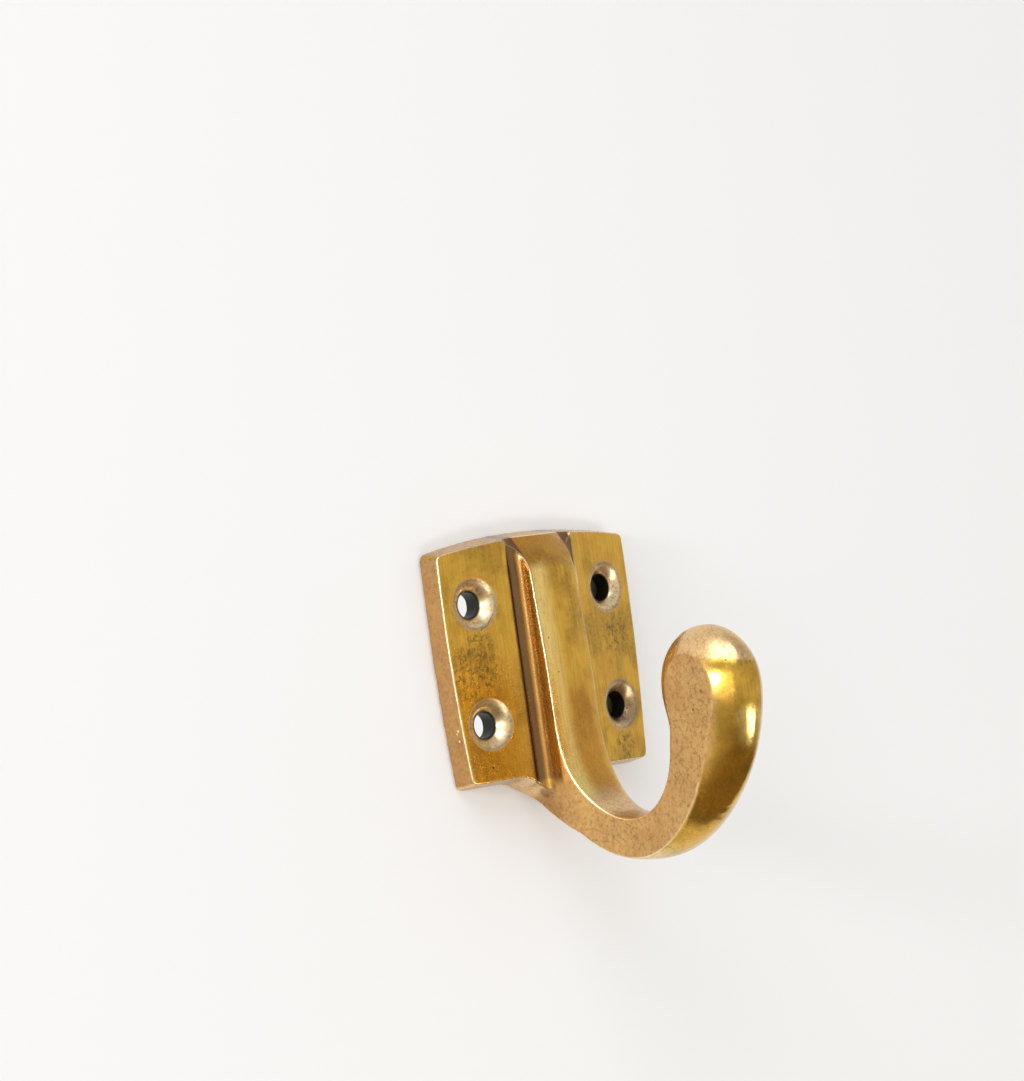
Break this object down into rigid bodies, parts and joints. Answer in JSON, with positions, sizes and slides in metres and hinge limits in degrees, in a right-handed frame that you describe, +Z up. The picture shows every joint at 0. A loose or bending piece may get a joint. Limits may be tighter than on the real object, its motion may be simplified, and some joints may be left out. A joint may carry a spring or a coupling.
{
  "type": "coat hook",
  "caption": "Cast brass coat hook: a countersunk wall plate with a raised rib that runs out into a J-shaped arm with a rounded tip.",
  "frame": {"origin": "on the plate's back face, midway between its sides and midway between its lower and upper corners", "axes": "+Y into the wall behind the plate, +Z up, +X to the right as seen from the front"},
  "size_m": [0.051, 0.0603, 0.0659],
  "materials": {
    "cast_brass": "aged satin with polished high spots"
  },
  "bodies": {
    "root": {"hook": "cast_brass"}
  },
  "joints": []
}
